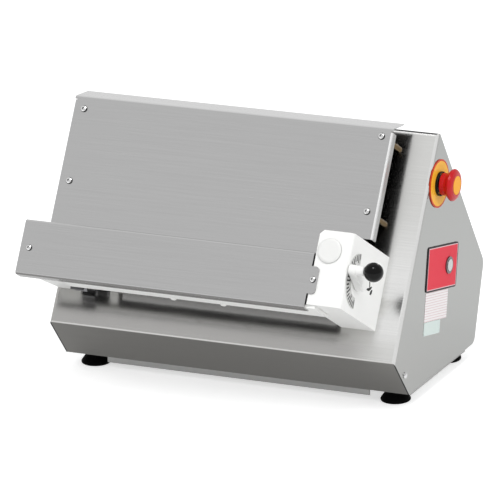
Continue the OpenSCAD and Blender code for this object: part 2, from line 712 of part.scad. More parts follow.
module scale_plate() {
    a = [for (k = [-97:6.1:86.1]) [-lever_n - scale_r * cos(k), lever_s + scale_r * sin(k)]];
    b = [for (k = [86:-6.1:-97.1]) [-lever_n - 20 * cos(k), lever_s + 20 * sin(k)]];
    color("gainsboro") on_slope() side_prism(concat(a, b), block_x1, block_x1 + 0.8);
}

module lever_spindle() {
    color("gray") on_slope() {
        side_prism(cam_points(3), slide_split + 0.6, slide_x1);
        bar_x(slide_split + 0.6, block_x1 + 9, lever_n, lever_s, spindle_r);
    }
}

module gap_lever() {
    x0 = block_x1 + 0.8 + air_gap;
    q = [-knob_n, knob_s];
    c = [-lever_n, lever_s];
    color("white") on_slope() difference() {
        union() {
            bar_x(block_x1 + air_gap, x0 + 10, lever_n, lever_s, 10.4);
            side_prism(loop_points(c, 11.2, q, 6.5, 16), x0, x0 + 9);
            bar_x(x0 + 1, x0 + knob_out - 0.4, knob_n, knob_s, 5.8);
        }
        bar_x(block_x1 - 1, block_x1 + 9.2, lever_n, lever_s, spindle_r + run_gap);
        bar_x(block_x1 - 1, x0 + knob_out + 1, knob_n, knob_s, stud_r + run_gap);
    }
}

module clamp_knob() {
    x0 = block_x1 + 0.8 + air_gap;
    color("black") on_slope() {
        bar_x(x0, x0 + knob_out + 3, knob_n, knob_s, stud_r);
        translate([x0 + knob_out + 0.9 * knob_r, -knob_n, knob_s]) rotate([0, 90, 0])
            rotate_extrude() polygon(concat([[0, -knob_r * 0.9], [knob_r * 0.436, -knob_r * 0.9]],
            [for (k = [-60:10:90]) [knob_r * cos(k), knob_r * sin(k)]]));
    }
}

module stop_disc() {
    color("gold") on_side(stop_y, stop_z) difference() {
        cylinder(r = stop_disc_r, h = 1.2);
        translate([0, 0, -1]) cylinder(r = 11.3, h = 4);
    }
}

module stop_collar() {
    color("black") on_side(stop_y, stop_z) translate([0, 0, 1.2]) difference() {
        cylinder(r = 15.2, h = 3.4);
        translate([0, 0, -1]) cylinder(r = 14.4, h = 8);
    }
}

module stop_barrel() {
    color("dimgray") on_side(stop_y, stop_z) difference() {
        union() {
            translate([0, 0, -20]) cylinder(r = 11, h = 21.2);
            translate([-16, -16, -58]) cube([32, 32, 38]);
        }
        translate([0, 0, -26]) cylinder(r = 6 + run_gap, h = 40);
    }
}

module stop_plunger() {
    color("dimgray") on_side(stop_y, stop_z) translate([0, 0, -26 + stop_travel + 0.6])
        cylinder(r = 6, h = 36 - stop_travel);
}

module stop_head() {
    s = 1.2 + stop_travel + 0.6;
    r = stop_head_r;
    color("red") on_side(stop_y, stop_z) difference() {
        rotate_extrude() polygon([[0, s], [13.9, s], [14, 11.4], [15.2, 13.6], [r - 0.8, 17.4],
            [r, 19.1], [r - 0.5, 21], [r - 2.4, stop_top - 1.6], [r - 6, stop_top - 0.4], [0, stop_top - 0.4]]);
        translate([0, 0, s - 1]) cylinder(r = 6 + run_gap, h = 5.6 + 1);
        translate([0, 0, stop_top - 1]) cylinder(r = 11.6, h = 2);
    }
}

module stop_cap() {
    color("gold") on_side(stop_y, stop_z) translate([0, 0, stop_top - 1]) cylinder(r = 11.5, h = 1);
}

module switch_plate() {
    p = rounded([[-switch_h / 2, -switch_l / 2], [-switch_h / 2, switch_l / 2], [switch_h / 2, switch_l / 2],
        [switch_h / 2, -switch_l / 2]], [4, 4, 4, 4]);
    color("indianred") difference() {
        on_side(151.9, 148.9) rotate([0, 0, -12.2]) linear_extrude(1.2) polygon(p);
        on_side(start_y, start_z) translate([0, 0, -1]) cylinder(r = 9.3, h = 4);
    }
}

module start_bezel() {
    color("silver") on_side(start_y, start_z) difference() {
        union() {
            translate([0, 0, 1.2]) cylinder(r = start_r + 3.2, h = 1.7);
            translate([0, 0, -18]) cylinder(r = 9, h = 20);
        }
        translate([0, 0, -12]) cylinder(r = start_r + 0.06, h = 20);
    }
}

module start_button() {
    color("lightgray") on_side(start_y, start_z) translate([0, 0, -8]) cylinder(r = start_r, h = 11.5);
}

module label_plates() {
    color("white") {
        on_side(131.9, 105.3) rotate([0, 0, -12.2]) translate([-18.1, -35.5, 0]) cube([36.2, 71, 0.4]);
        on_side(117, 81) rotate([0, 0, -12.2]) translate([-8.3, -25.5, 0]) cube([16.6, 51, 0.4]);
    }
}

module gearmotor() {
    color("darkgray") on_bench() translate([motor_x0, motor_y, motor_z]) rotate([0, 90, 0]) {
        cylinder(r = motor_r, h = motor_l);
        translate([0, 0, motor_l]) cylinder(r = motor_r - 3, h = motor_cap);
        for (k = [0:11]) rotate(k * 30) translate([motor_r - 1, -1.5, 12]) cube([5, 3, motor_l - 20]);
    }
}

module gearbox() {
    color("gray") on_bench() difference() {
        translate([gearbox_x0, motor_y - 45, motor_z - 48]) cube([gearbox_l, 90, 96]);
        translate([gearbox_x0 - 1, motor_y, motor_z]) rotate([0, 90, 0])
            cylinder(r = shaft_r + run_gap, h = gearbox_l - 15);
    }
}

module motor_bracket() {
    z0 = edge_z + sheet;
    legs = [gearbox_x0 + 4, gearbox_x0 + gearbox_l - 8];
    saddles = [motor_x0 + motor_l - 46, motor_x0 + motor_l - 12];
    color("gray") on_bench() {
        translate([gearbox_x0 + 2, motor_y - 55, z0]) cube([gearbox_l + motor_l - 8, 100, 3]);
        for (x = legs) translate([x, motor_y - 40, z0]) cube([4, 80, motor_z - 48 - z0]);
        for (x = saddles) difference() {
            translate([x, motor_y - 42, z0]) cube([4, 84, 58]);
            translate([x - 1, motor_y, motor_z]) rotate([0, 90, 0]) cylinder(r = motor_r + 4.5, h = 6);
        }
    }
}

module motor_pulley() {
    color("gray") on_slope() {
        bar_x(pulley_x0, pulley_x1, -motor_a, motor_b, motor_pulley_r);
        bar_x(pulley_x0, pulley_x0 + 1.5, -motor_a, motor_b, motor_pulley_r + 4);
        bar_x(pulley_x1 - 1.5, pulley_x1, -motor_a, motor_b, motor_pulley_r + 4);
        bar_x(pulley_x0 - 4, gearbox_x0 + gearbox_l - 17, -motor_a, motor_b, shaft_r);
    }
}

module drive_belt() {
    c = [-rear_n, roller_s];
    d = [motor_a, motor_b];
    g = air_gap;
    color("black") on_slope() difference() {
        side_prism(loop_points(c, roller_pulley_r + g + belt_t, d, motor_pulley_r + g + belt_t, 36),
            pulley_x0 + 2, pulley_x1 - 2);
        side_prism(loop_points(c, roller_pulley_r + g, d, motor_pulley_r + g, 36),
            pulley_x0 + 1, pulley_x1 - 1);
    }
}

module control_box() {
    w = 2.5;
    color("lightgray") on_bench() difference() {
        translate([control_x0, 100, edge_z + sheet]) cube([control_l, 110, 62]);
        translate([control_x0 + w, 100 + w, edge_z + sheet + w])
            cube([control_l - 2 * w, 110 - 2 * w, 70]);
    }
}

module cable_gland() {
    color("black") on_bench() gland_place() difference() {
        union() {
            cylinder(r = 12, h = 5, $fn = 6);
            translate([0, 0, 5]) cylinder(r1 = 10.5, r2 = 8.5, h = 8);
            translate([0, 0, -8]) cylinder(r = 8, h = 9);
        }
        translate([0, 0, -9]) cylinder(r = 4.5, h = 30);
    }
}

body_shell();
rear_cover();
cover_plate_screws();
base_pan();
pan_screws();
rubber_feet();
foot_bolts();
left_plate();
inner_plate();
right_block();
block_plug();
block_bolts();
drive_guard();
front_cover();
cover_screws();
guard_bar();
guard_screws();
chute_panel();
chute_screws();
standoffs();
standoff_nuts();
rear_roller();
rear_gear();
roller_pulley();
rear_scraper();
scraper_screws();
right_slide();
left_slide();
carrier_yoke();
front_scraper();
front_roller();
front_gear();
scale_plate();
lever_spindle();
gap_lever();
clamp_knob();
stop_disc();
stop_collar();
stop_barrel();
stop_plunger();
stop_head();
stop_cap();
switch_plate();
start_bezel();
start_button();
label_plates();
gearmotor();
gearbox();
motor_bracket();
motor_pulley();
drive_belt();
control_box();
cable_gland();
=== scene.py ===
import bpy
import bmesh
import math
from mathutils import Matrix, Vector


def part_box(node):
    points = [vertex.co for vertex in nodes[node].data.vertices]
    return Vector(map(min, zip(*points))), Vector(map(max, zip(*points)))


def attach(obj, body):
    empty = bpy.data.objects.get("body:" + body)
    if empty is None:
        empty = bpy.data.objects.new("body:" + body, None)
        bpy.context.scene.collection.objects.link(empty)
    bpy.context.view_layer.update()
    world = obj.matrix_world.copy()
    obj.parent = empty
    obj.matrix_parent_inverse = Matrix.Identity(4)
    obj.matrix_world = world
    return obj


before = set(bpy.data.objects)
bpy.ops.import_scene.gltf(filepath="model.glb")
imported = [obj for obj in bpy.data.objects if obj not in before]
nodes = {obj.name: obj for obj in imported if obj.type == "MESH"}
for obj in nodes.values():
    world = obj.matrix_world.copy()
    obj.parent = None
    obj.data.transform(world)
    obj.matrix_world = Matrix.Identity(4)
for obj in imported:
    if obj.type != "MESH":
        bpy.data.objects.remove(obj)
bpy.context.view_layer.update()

# Camera. A long lens stands well back and looks down at the front right corner,
# so the cabinet's edges stay almost parallel.
azimuth, elevation, roll = math.radians(25.02), math.radians(18.04), math.radians(-1.59)
camera_distance, camera_right, camera_up = 6.8304, 0.03573, 0.18213
fold_corner = Vector((0.011, 0.099725, 0))
look = Vector((-math.sin(azimuth) * math.cos(elevation),
               math.cos(azimuth) * math.cos(elevation),
               -math.sin(elevation)))
level_right = Vector((math.cos(azimuth), math.sin(azimuth), 0))
level_up = level_right.cross(look)
right = math.cos(roll) * level_right + math.sin(roll) * level_up
up = -math.sin(roll) * level_right + math.cos(roll) * level_up
place = right * camera_right + up * camera_up - look * camera_distance - fold_corner
camera = bpy.data.objects.new("camera", bpy.data.cameras.new("camera"))
camera.data.lens, camera.data.sensor_width = 399.3, 36
camera.data.clip_start, camera.data.clip_end = 0.1, 60
camera.matrix_world = Matrix.Translation(place) @ Matrix((right, up, -look)).transposed().to_4x4()
bpy.context.scene.collection.objects.link(camera)
bpy.context.scene.camera = camera


# Bench and studio. A pale bench top stands in a white tent with soft lamps,
# so bare steel mirrors white all round and keeps a soft shadow under the feet.
def calc(tree, operation, *values):
    """One Math node; each value is a number or another node's output."""
    node = tree.nodes.new("ShaderNodeMath")
    node.operation = operation
    for socket, value in zip(node.inputs, values):
        if isinstance(value, (int, float)):
            socket.default_value = value
        else:
            tree.links.new(value, socket)
    return node.outputs[0]


bpy.context.scene.view_settings.view_transform = "Standard"
world = bpy.data.worlds.new("tent")
bpy.context.scene.world = world
world.use_nodes = True
tree = world.node_tree
tree.nodes.clear()
path = tree.nodes.new("ShaderNodeLightPath")
seen = calc(tree, "MAXIMUM", path.outputs["Is Camera Ray"], path.outputs["Is Glossy Ray"])
ambient = tree.nodes.new("ShaderNodeBackground")
ambient.inputs["Color"].default_value = (0.98, 0.99, 1, 1)
ambient.inputs["Strength"].default_value = 0.55
white = tree.nodes.new("ShaderNodeBackground")
white.inputs["Strength"].default_value = 1.0
mixed = tree.nodes.new("ShaderNodeMixShader")
out = tree.nodes.new("ShaderNodeOutputWorld")
tree.links.new(calc(tree, "MAXIMUM", seen, path.outputs["Is Transmission Ray"]), mixed.inputs[0])
tree.links.new(ambient.outputs[0], mixed.inputs[1])
tree.links.new(white.outputs[0], mixed.inputs[2])
tree.links.new(mixed.outputs[0], out.inputs["Surface"])

bench_mesh = bpy.data.meshes.new("bench")
bm = bmesh.new()
bmesh.ops.create_circle(bm, cap_ends=True, segments=96, radius=14)
bm.to_mesh(bench_mesh)
bm.free()
bench = bpy.data.objects.new("bench", bench_mesh)
bpy.context.scene.collection.objects.link(bench)
bench_paint = bpy.data.materials.new("bench_paint")
bench_paint.use_nodes = True
tree = bench_paint.node_tree
tree.nodes.clear()
path = tree.nodes.new("ShaderNodeLightPath")
seen = calc(tree, "MAXIMUM", path.outputs["Is Camera Ray"], path.outputs["Is Glossy Ray"])
matt = tree.nodes.new("ShaderNodeBsdfDiffuse")
matt.inputs["Color"].default_value = (0.82, 0.82, 0.82, 1)
glow = tree.nodes.new("ShaderNodeEmission")
mirrored_glow, extra_glow = 0.44, 0.12
glowing = calc(tree, "MULTIPLY", seen, mirrored_glow)
glowing = calc(tree, "MULTIPLY_ADD", path.outputs["Is Camera Ray"], extra_glow, glowing)
tree.links.new(glowing, glow.inputs["Strength"])
both = tree.nodes.new("ShaderNodeAddShader")
tree.links.new(matt.outputs[0], both.inputs[0])
tree.links.new(glow.outputs[0], both.inputs[1])
out = tree.nodes.new("ShaderNodeOutputMaterial")
tree.links.new(both.outputs[0], out.inputs["Surface"])
bench_mesh.materials.append(bench_paint)

lamp_target = Vector((0, 0, 0.15))
for name, spot, power, size, mirrored in (
        ("key_lamp", (-1.6, -2.2, 2.6), 41, 2.2, False),
        ("fill_lamp", (2.6, -0.8, 1.6), 27, 2.0, False),
        ("top_lamp", (0.7, -0.9, 2.6), 20, 0.8, True)):
    lamp = bpy.data.objects.new(name, bpy.data.lights.new(name, "AREA"))
    lamp.data.energy, lamp.data.size = power, size
    lamp.visible_glossy = mirrored
    lamp.location = spot
    lamp.rotation_euler = (lamp_target - lamp.location).to_track_quat("-Z", "Y").to_euler()
    bpy.context.scene.collection.objects.link(lamp)


# Cabinet shell. One brushed stainless sheet is folded over the sloping face, the bevel
# under it and both sides. The slope is polished and mirrors what stands above it.
# Its colour also carries painted light: painted highlights near the slope's right edge,
# on the side folds and along the ridge, a painted dark line on top of the ridge,
# and painted shade on both sides and on the bevel.
def tone(r, g, b):
    """Linear colour of a paint or metal given as it looks on screen, 0 to 255."""
    linear = [v / 255 / 12.92 if v <= 10 else ((v / 255 + 0.055) / 1.055) ** 2.4 for v in (r, g, b)]
    return (*linear, 1)


grain = bpy.data.node_groups.new("brush_grain", "ShaderNodeTree")
for name, kind in (("Place", "NodeSocketVector"), ("Colour", "NodeSocketColor"),
                   ("Streak", "NodeSocketFloat"), ("Roughness", "NodeSocketFloat")):
    grain.interface.new_socket(name, in_out="INPUT", socket_type=kind)
for name, kind in (("Colour", "NodeSocketColor"), ("Roughness", "NodeSocketFloat"),
                   ("Height", "NodeSocketFloat")):
    grain.interface.new_socket(name, in_out="OUTPUT", socket_type=kind)
g_in, g_out = grain.nodes.new("NodeGroupInput"), grain.nodes.new("NodeGroupOutput")
fine = grain.nodes.new("ShaderNodeTexNoise")
fine.inputs["Scale"].default_value = 1.0
fine.inputs["Detail"].default_value = 3.0
fine.inputs["Roughness"].default_value = 0.7
grain.links.new(g_in.outputs["Place"], fine.inputs["Vector"])
smudge_size = grain.nodes.new("ShaderNodeVectorMath")
smudge_size.operation = "MULTIPLY"
smudge_size.inputs[1].default_value = (0.6, 0.012, 0.012)
grain.links.new(g_in.outputs["Place"], smudge_size.inputs[0])
smudge = grain.nodes.new("ShaderNodeTexNoise")
smudge.inputs["Scale"].default_value = 1.6
smudge.inputs["Detail"].default_value = 2.0
grain.links.new(smudge_size.outputs[0], smudge.inputs["Vector"])
centred = calc(grain, "SUBTRACT", fine.outputs["Fac"], 0.5)
tinted = grain.nodes.new("ShaderNodeVectorMath")
tinted.operation = "SCALE"
grain.links.new(g_in.outputs["Colour"], tinted.inputs[0])
grain.links.new(calc(grain, "MULTIPLY_ADD", centred, g_in.outputs["Streak"], 1.0), tinted.inputs["Scale"])
grain.links.new(tinted.outputs[0], g_out.inputs["Colour"])
smudge_centred = calc(grain, "SUBTRACT", smudge.outputs["Fac"], 0.5)
cloudy = calc(grain, "MULTIPLY_ADD", smudge_centred, 0.08, g_in.outputs["Roughness"])
grain.links.new(calc(grain, "MULTIPLY_ADD", centred, 0.12, cloudy), g_out.inputs["Roughness"])
grain.links.new(fine.outputs["Fac"], g_out.inputs["Height"])


def brushed(name, colour, across, roughness, streak, bump):
    """Steel brushed in one direction: across gives the streaks per metre along x, y and z."""
    made = bpy.data.materials.new(name)
    made.use_nodes = True
    tree = made.node_tree
    metal = tree.nodes["Principled BSDF"]
    metal.inputs["Metallic"].default_value = 1.0
    where = tree.nodes.new("ShaderNodeTexCoord")
    where.name = "where"
    spread = tree.nodes.new("ShaderNodeVectorMath")
    spread.operation = "MULTIPLY"
    spread.inputs[1].default_value = across
    tree.links.new(where.outputs["Object"], spread.inputs[0])
    group = tree.nodes.new("ShaderNodeGroup")
    group.node_tree = grain
    group.name = "surface"
    group.inputs["Colour"].default_value = colour
    group.inputs["Streak"].default_value = streak
    group.inputs["Roughness"].default_value = roughness
    tree.links.new(spread.outputs[0], group.inputs["Place"])
    tree.links.new(group.outputs["Colour"], metal.inputs["Base Color"])
    tree.links.new(group.outputs["Roughness"], metal.inputs["Roughness"])
    ridge = tree.nodes.new("ShaderNodeBump")
    ridge.inputs["Strength"].default_value = bump
    ridge.inputs["Distance"].default_value = 0.0002
    tree.links.new(group.outputs["Height"], ridge.inputs["Height"])
    tree.links.new(ridge.outputs["Normal"], metal.inputs["Normal"])
    return made


def reach(made, axis, of="Object"):
    """How far a point lies along an axis, or with of="Normal" how far its face turns that way."""
    node = made.node_tree.nodes.new("ShaderNodeVectorMath")
    node.operation = "DOT_PRODUCT"
    node.inputs[1].default_value = axis
    made.node_tree.links.new(made.node_tree.nodes["where"].outputs[of], node.inputs[0])
    return node.outputs["Value"]


def rise(made, value, low, high):
    """A mask that is 0 at low and 1 at high."""
    node = made.node_tree.nodes.new("ShaderNodeMapRange")
    node.interpolation_type = "SMOOTHSTEP"
    node.inputs["From Min"].default_value, node.inputs["From Max"].default_value = low, high
    made.node_tree.links.new(value, node.inputs["Value"])
    return node.outputs["Result"]


def both(made, first, second):
    """A mask that is 1 where both masks are 1."""
    return calc(made.node_tree, "MULTIPLY", first, second)


def patch(made, mask, colour):
    """Gives the masked area of a finish another colour, before the grain goes over it."""
    tree = made.node_tree
    socket = tree.nodes["surface"].inputs["Colour"]
    mix = tree.nodes.new("ShaderNodeMix")
    mix.data_type = "RGBA"
    if socket.is_linked:
        tree.links.new(socket.links[0].from_socket, mix.inputs[6])
    else:
        mix.inputs[6].default_value = socket.default_value
    mix.inputs[7].default_value = colour
    tree.links.new(mask, mix.inputs[0])
    tree.links.new(mix.outputs[2], socket)


def dress(name, material, soften=0.0):
    """Gives a CAD piece its finish and, where asked, small rounded edges."""
    piece = nodes[name]
    piece.data.materials.clear()
    piece.data.materials.append(material)
    if soften:
        weld = piece.modifiers.new("weld", "WELD")
        weld.merge_threshold = 0.00001
        flat = piece.modifiers.new("flat", "DECIMATE")
        flat.decimate_type = "DISSOLVE"
        flat.angle_limit = math.radians(0.3)
        edge = piece.modifiers.new("edge", "BEVEL")
        edge.width, edge.segments = soften, 2
        edge.limit_method, edge.angle_limit = "ANGLE", math.radians(32)
        edge.harden_normals = True
        edge.use_clamp_overlap = True


slope_length = math.hypot(152, 251)
lean, climb = 152 / slope_length, 251 / slope_length
outward, uphill = Vector((0, -climb, lean)), Vector((0, lean, climb))
fold_place = Vector((-0.011, -0.099725, 0.0725))

steel = brushed("sheet_steel", tone(186, 185, 183), (9, 620, 620), 0.15, 0.16, 0.04)
# Painted highlight: the slope is painted lighter towards its right edge.
facing_out = rise(steel, reach(steel, outward, "Normal"), 0.9, 0.97)
painted_edge_glare = rise(steel, reach(steel, (1, 0, 0)), 0.15, 0.215)
patch(steel, both(steel, facing_out, painted_edge_glare), tone(228, 228, 226))
# Painted shade: both sides are painted darker than the slope, the left one darker still.
patch(steel, rise(steel, reach(steel, (1, 0, 0), "Normal"), 0.9, 0.98), tone(155, 156, 154))
patch(steel, rise(steel, reach(steel, (-1, 0, 0), "Normal"), 0.9, 0.98), tone(150, 151, 149))
# Painted highlight on the rounded folds between the slope and the sides.
turning = reach(steel, (1, 0, 0), "Normal")
painted_fold_highlight = both(steel, rise(steel, turning, 0.12, 0.35), rise(steel, turning, 0.97, 0.8))
patch(steel, painted_fold_highlight, tone(238, 238, 237))
# Painted highlight on the lower slope near its right edge.
climbed = calc(steel.node_tree, "SUBTRACT", reach(steel, uphill), uphill.dot(fold_place))
low_down = both(steel, rise(steel, climbed, 0.21, 0.1), rise(steel, climbed, 0.008, 0.045))
painted_lower_edge_highlight = both(steel, low_down, rise(steel, reach(steel, (1, 0, 0)), 0.184, 0.2))
patch(steel, both(steel, facing_out, painted_lower_edge_highlight), tone(246, 246, 245))
# Painted highlight in a thin band along the ridge.
patch(steel, both(steel, facing_out, rise(steel, climbed, 0.2855, 0.287)), tone(248, 248, 247))
# Painted shade: a dark line on the faces that turn upward, over the top of the ridge.
patch(steel, rise(steel, reach(steel, (0, 0, 1), "Normal"), 0.72, 0.8), tone(70, 70, 70))
# Painted shade on the bevel and every other face that turns down.
facing_down = rise(steel, reach(steel, (0, 0, 1), "Normal"), -0.2, -0.5)
patch(steel, facing_down, tone(105, 104, 101))
across = calc(steel.node_tree, "SUBTRACT", reach(steel, (1, 0, 0)), fold_place.x)
from_middle = calc(steel.node_tree, "ABSOLUTE", across)
seam = rise(steel, from_middle, 0.2314, 0.232)
patch(steel, both(steel, facing_down, seam), tone(18, 18, 18))
# A slight bow in the polished sheet turns its reflections to the right and down.
tree = steel.node_tree
bow = tree.nodes.new("ShaderNodeVectorMath")
bow.operation = "SCALE"
bow_right, bow_down = 0.2, 0.03
bow.inputs[0].default_value = Vector((bow_right, 0, 0)) - bow_down * uphill
tree.links.new(facing_out, bow.inputs["Scale"])
bowed = tree.nodes.new("ShaderNodeVectorMath")
bowed.operation = "ADD"
metal = tree.nodes["Principled BSDF"]
tree.links.new(metal.inputs["Normal"].links[0].from_socket, bowed.inputs[0])
tree.links.new(bow.outputs[0], bowed.inputs[1])
level = tree.nodes.new("ShaderNodeVectorMath")
level.operation = "NORMALIZE"
tree.links.new(bowed.outputs[0], level.inputs[0])
tree.links.new(level.outputs[0], metal.inputs["Normal"])
dress("body_shell", steel)

# Rear cover. A folded sheet with two rows of vent slots, tucked under the ridge flange
# and held by button head screws at the top and bottom.
rear_steel = brushed("rear_steel", tone(180, 180, 179), (9, 620, 620), 0.26, 0.14, 0.05)
dress("rear_cover", rear_steel)

# Screws and bolts. Turned stainless with a hexagon socket;
# the ones on the cover and the chute panel are polished and stand out from the sheet,
# with painted shade on the faces that turn away from the front, the socket among them,
# so the rim looks brighter.
turned = brushed("turned_steel", tone(205, 205, 205), (1500, 1500, 1500), 0.2, 0.3, 0.1)
for name in ("cover_plate_screws", "pan_screws", "foot_bolts", "block_bolts", "standoff_nuts",
             "scraper_screws"):
    dress(name, turned)
polished = brushed("polished_head", tone(226, 226, 226), (1500, 1500, 1500), 0.16, 0.2, 0.06)
# Painted shade on every face of the head that turns away from the front.
facing = reach(polished, outward, "Normal")
patch(polished, rise(polished, facing, 0.8, 0.62), tone(46, 46, 46))
for name in ("cover_screws", "chute_screws"):
    dress(name, polished)

# Base pan. A plain bright tray that closes the cabinet from below, with a turned lip
# that shows between the feet.
pan_steel = brushed("pan_steel", tone(150, 150, 149), (14, 300, 300), 0.38, 0.2, 0.05)
dress("base_pan", pan_steel)


# Feet. Moulded black rubber that flares to a wide sole,
# each held to the pan by a bolt from below.
def moulded(name, colour, roughness, fleck, speckle, bump, gloss=0.5):
    """Plastic or rubber with a fine moulded or sawn surface; speckle counts its grains per metre."""
    made = bpy.data.materials.new(name)
    made.use_nodes = True
    tree = made.node_tree
    body = tree.nodes["Principled BSDF"]
    body.inputs["Specular IOR Level"].default_value = gloss
    where = tree.nodes.new("ShaderNodeTexCoord")
    where.name = "where"
    spots = tree.nodes.new("ShaderNodeTexNoise")
    spots.inputs["Scale"].default_value = speckle
    spots.inputs["Detail"].default_value = 4
    tree.links.new(where.outputs["Object"], spots.inputs["Vector"])
    group = tree.nodes.new("ShaderNodeGroup")
    group.node_tree = grain
    group.name = "surface"
    group.inputs["Colour"].default_value = colour
    group.inputs["Streak"].default_value = fleck * 4
    group.inputs["Roughness"].default_value = roughness
    closer = tree.nodes.new("ShaderNodeVectorMath")
    closer.operation = "SCALE"
    closer.inputs["Scale"].default_value = speckle
    tree.links.new(where.outputs["Object"], closer.inputs[0])
    tree.links.new(closer.outputs[0], group.inputs["Place"])
    tree.links.new(group.outputs["Colour"], body.inputs["Base Color"])
    tree.links.new(group.outputs["Roughness"], body.inputs["Roughness"])
    ridge = tree.nodes.new("ShaderNodeBump")
    ridge.inputs["Strength"].default_value = bump
    ridge.inputs["Distance"].default_value = 0.0002
    tree.links.new(spots.outputs["Fac"], ridge.inputs["Height"])
    tree.links.new(ridge.outputs["Normal"], body.inputs["Normal"])
    return made


rubber = moulded("foot_rubber", tone(4, 4, 4), 0.7, 0.2, 900, 0.15, 0.05)
dress("rubber_feet", rubber, 0.0006)

# End blocks. White polyethylene, sawn and milled, bolted to the slope from inside;
# they carry the roller shafts. A white bar keeps fingers out below the cover.
white_block = moulded("white_polyethylene", tone(240, 240, 238), 0.42, 0.008, 420, 0.05, 0.35)
for name in ("left_plate", "inner_plate", "right_block"):
    dress(name, white_block, 0.0009)
white_plug = moulded("plug_plastic", tone(226, 226, 224), 0.34, 0.008, 300, 0.03, 0.35)
# Painted shade: the plug's sides and rim, which turn away from the front, are painted darker.
patch(white_plug, rise(white_plug, reach(white_plug, outward, "Normal"), 0.8, 0.4), tone(176, 176, 175))
dress("block_plug", white_plug, 0.0004)
dress("guard_bar", white_block, 0.0006)
dress("guard_screws", white_block)

# Drive guard. A flat sheet over the gears and the belt at the left end,
# cut from the same stock as the rear cover.
dress("drive_guard", rear_steel)

# Front cover. A folded brushed sheet over the rollers, curled under at the bottom,
# with a tab screwed to the right block. Its colour carries painted light: a painted
# highlight on faces turned up the slope, painted shade on faces turned down it,
# and dark painted shade on its inner side.
cover_steel = brushed("cover_steel", tone(194, 194, 194), (9, 700, 700), 0.24, 0.14, 0.05)
# Painted highlight on faces turned up the slope, painted shade on faces turned down it, dark painted shade
# inside.
patch(cover_steel, rise(cover_steel, reach(cover_steel, uphill, "Normal"), 0.15, 0.5), tone(206, 206, 206))
patch(cover_steel, rise(cover_steel, reach(cover_steel, uphill, "Normal"), -0.25, -0.7), tone(112, 111, 110))
patch(cover_steel, rise(cover_steel, reach(cover_steel, outward, "Normal"), -0.3, -0.6), tone(40, 40, 40))
dress("front_cover", cover_steel)

# Chute panel. A flat brushed sheet with turned sides and a turned top lip; it stands off
# the slope on four rods and leaves room for the dough behind it. Its colour carries
# painted highlights on the side folds and the lip, and dark painted shade on its back.
chute_steel = brushed("chute_steel", tone(195, 195, 195), (9, 700, 700), 0.24, 0.14, 0.05)
# Painted highlight on the side folds and on faces turned up the slope, dark painted shade on the back.
turning = reach(chute_steel, (1, 0, 0), "Normal")
painted_fold_highlight = both(chute_steel, rise(chute_steel, turning, 0.1, 0.35), rise(chute_steel, turning, 0.97, 0.8))
patch(chute_steel, painted_fold_highlight, tone(255, 255, 255))
patch(chute_steel, rise(chute_steel, reach(chute_steel, uphill, "Normal"), 0.2, 0.6), tone(226, 226, 226))
patch(chute_steel, rise(chute_steel, reach(chute_steel, outward, "Normal"), -0.2, -0.6), tone(12, 12, 12))
dress("chute_panel", chute_steel)
rod_zinc = brushed("rod_zinc", tone(132, 108, 68), (600, 600, 600), 0.22, 0.2, 0.05)
dress("standoffs", rod_zinc)

# Rollers and scrapers. Ground steel rollers that turn in the end blocks,
# with thin sprung steel blades screwed below them.
roller_steel = brushed("roller_steel", tone(150, 150, 150), (1200, 40, 40), 0.2, 0.12, 0.04)
for name in ("rear_roller", "front_roller"):
    dress(name, roller_steel)
for name in ("rear_scraper", "front_scraper"):
    dress(name, rear_steel)

# Gears and pulleys. Machined steel in a darker grey than the sheet,
# keyed to the roller ends and the motor shaft.
gear_steel = brushed("gear_steel", tone(112, 112, 114), (900, 900, 900), 0.34, 0.25, 0.1)
for name in ("rear_gear", "front_gear", "roller_pulley", "motor_pulley", "lever_spindle"):
    dress(name, gear_steel)

# Front roller carrier. Bronze bearing slides joined by a steel yoke,
# which the lever moves to set the gap.
bronze = brushed("bearing_bronze", tone(176, 134, 82), (500, 500, 500), 0.34, 0.22, 0.08)
dress("right_slide", bronze)
dress("left_slide", bronze)
dress("carrier_yoke", pan_steel)


# Gap scale. A printed aluminium band round the lever, with black strokes at its rim
# and plain numbers inside them, and a small arrow printed on the block beside it.
def on_block(x, n, s):
    """A point in millimetres: across the machine, out from the slope and up it."""
    return fold_place + Vector((x, 0, 0)) / 1000 + (outward * n + uphill * s) / 1000


dial_metal = brushed("dial_metal", tone(196, 196, 194), (300, 300, 300), 0.36, 0.08, 0.03)
dress("scale_plate", dial_metal)
lever_n, lever_s, dial_x, block_x = 85.3, 78.8, 201.34, 200.54
stroke_half, stroke_end, stroke_start, long_start = 1.05, 32.7, 25.6, 22.6
number_r, number_size = 22.6, 0.0058
print_mesh = bpy.data.meshes.new("dial_print")
bm = bmesh.new()


def printed(x, corners):
    """One flat printed shape on a plane across the machine; corners are out and up in millimetres."""
    bm.faces.new([bm.verts.new(on_block(x, n, s)) for n, s in corners])


